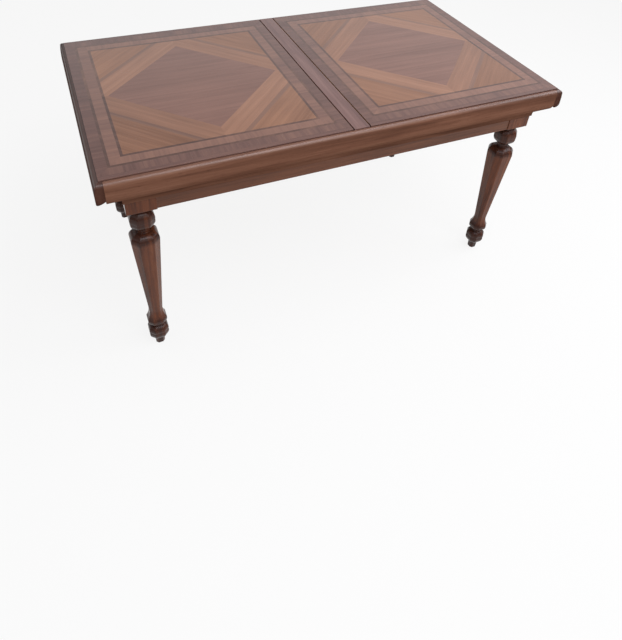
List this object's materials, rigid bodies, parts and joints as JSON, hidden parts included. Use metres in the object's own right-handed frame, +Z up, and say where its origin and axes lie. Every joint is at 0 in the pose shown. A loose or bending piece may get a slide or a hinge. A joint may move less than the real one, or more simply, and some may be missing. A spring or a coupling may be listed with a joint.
{
  "type": "draw leaf table",
  "caption": "Extending dining table: two marquetry leaves slide out between moulded side rails and draw slatted tambour mats after them, on faceted turned legs.",
  "frame": {"origin": "centre of the footprint on the floor", "axes": "+X along the table, -Y the front long side, +Z up"},
  "size_m": [1.5066, 0.836, 0.76],
  "materials": {
    "leg_wood": "red-brown stained hardwood, varnished",
    "apron_wood": "brown stained hardwood, varnished",
    "moulding_wood": "brown stained hardwood, glossy varnish",
    "lipping_wood": "brown stained hardwood, glossy varnish",
    "crossband_veneer": "dark veneer, glossy varnish",
    "stringing_veneer": "very dark veneer lines, glossy varnish",
    "diamond_band_veneer": "light veneer, glossy varnish",
    "diamond_centre_veneer": "rosy brown veneer, glossy varnish",
    "corner_veneer": "orange-brown veneer, glossy varnish",
    "slat_wood": "brown stained slats, satin varnish",
    "inner_wood": "plain sanded wood",
    "canvas": "coarse canvas",
    "steel": "zinc-plated steel"
  },
  "bodies": {
    "frame": {"back_apron": "apron_wood", "back_cove": "moulding_wood", "back_ledge": "inner_wood", "back_rail": "moulding_wood", "bar_end_blocks": "inner_wood", "centre_bar": "moulding_wood", "centre_bearer": "inner_wood", "corner_blocks": "inner_wood", "front_apron": "apron_wood", "front_cove": "moulding_wood", "front_ledge": "inner_wood", "front_rail": "moulding_wood", "guide_cheeks": "inner_wood", "hanger_bolts": "steel", "keeper_screws": "steel", "keeper_straps": "inner_wood", "left_apron": "apron_wood", "left_cove": "moulding_wood", "left_end_rail": "inner_wood", "left_guide_rail": "inner_wood", "leg_back_left": "leg_wood", "leg_back_right": "leg_wood", "leg_front_left": "leg_wood", "leg_front_right": "leg_wood", "right_apron": "apron_wood", "right_cove": "moulding_wood", "right_end_rail": "inner_wood", "right_guide_rail": "inner_wood", "wing_nuts": "steel"},
    "left_leaf": {"left_leaf_core": "inner_wood", "left_leaf_lippings": "lipping_wood", "left_leaf_underboard": "inner_wood", "left_leaf_nosing": "moulding_wood", "left_crossbanding": "crossband_veneer", "left_stringing": "stringing_veneer", "left_diamond_band": "diamond_band_veneer", "left_diamond_centre": "diamond_centre_veneer", "left_corner_veneers": "corner_veneer", "left_lopers": "inner_wood", "left_loper_screws": "steel", "left_stop_pegs": "inner_wood", "left_tambour_rail": "inner_wood", "left_tambour_canvas": "canvas", "left_tambour_slats": "slat_wood"},
    "right_leaf": {"right_leaf_core": "inner_wood", "right_leaf_lippings": "lipping_wood", "right_leaf_underboard": "inner_wood", "right_leaf_nosing": "moulding_wood", "right_crossbanding": "crossband_veneer", "right_stringing": "stringing_veneer", "right_diamond_band": "diamond_band_veneer", "right_diamond_centre": "diamond_centre_veneer", "right_corner_veneers": "corner_veneer", "right_lopers": "inner_wood", "right_loper_screws": "steel", "right_stop_pegs": "inner_wood", "right_tambour_rail": "inner_wood", "right_tambour_canvas": "canvas", "right_tambour_slats": "slat_wood"}
  },
  "joints": [
    {"name": "left_leaf_slide", "type": "slide", "parent": "frame", "child": "left_leaf", "axis": [-1, 0, 0], "range_m": [0, 0.37]},
    {"name": "right_leaf_slide", "type": "slide", "parent": "frame", "child": "right_leaf", "axis": [1, 0, 0], "range_m": [0, 0.37]}
  ]
}
